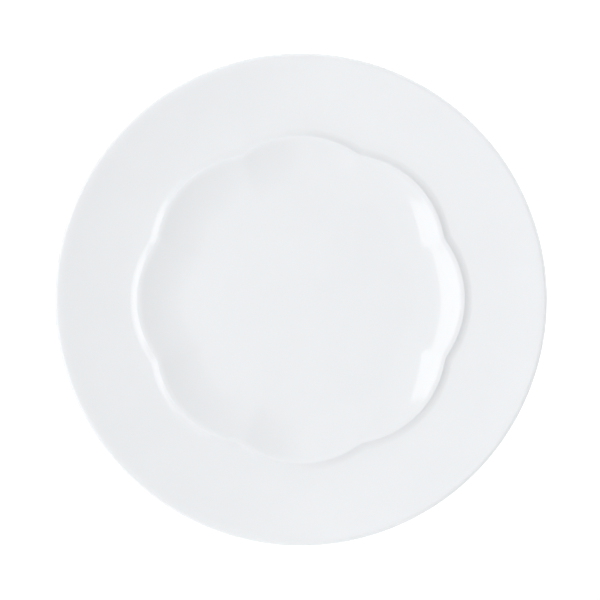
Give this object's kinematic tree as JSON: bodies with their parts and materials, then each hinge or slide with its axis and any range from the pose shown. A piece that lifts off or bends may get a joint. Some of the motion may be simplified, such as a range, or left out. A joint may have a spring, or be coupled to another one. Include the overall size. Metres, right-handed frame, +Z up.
{
  "type": "dinner plate",
  "caption": "Round white porcelain dinner plate with a flat well inside a scalloped relief edge, a wide gently rising rim with a rounded lip, and a foot ring underneath.",
  "frame": {"origin": "on the plate's axis, in the plane of the foot ring's bearing face, so the plate stands on z = 0", "axes": "+Z up along the plate's axis, out of the well; +X through the middle of one scallop"},
  "size_m": [0.27, 0.27, 0.0196],
  "materials": {
    "bare_porcelain": "matte",
    "white_glaze": "gloss"
  },
  "bodies": {
    "root": {"porcelain_body": "bare_porcelain", "face_glaze": "white_glaze", "recess_glaze": "white_glaze"}
  },
  "joints": []
}
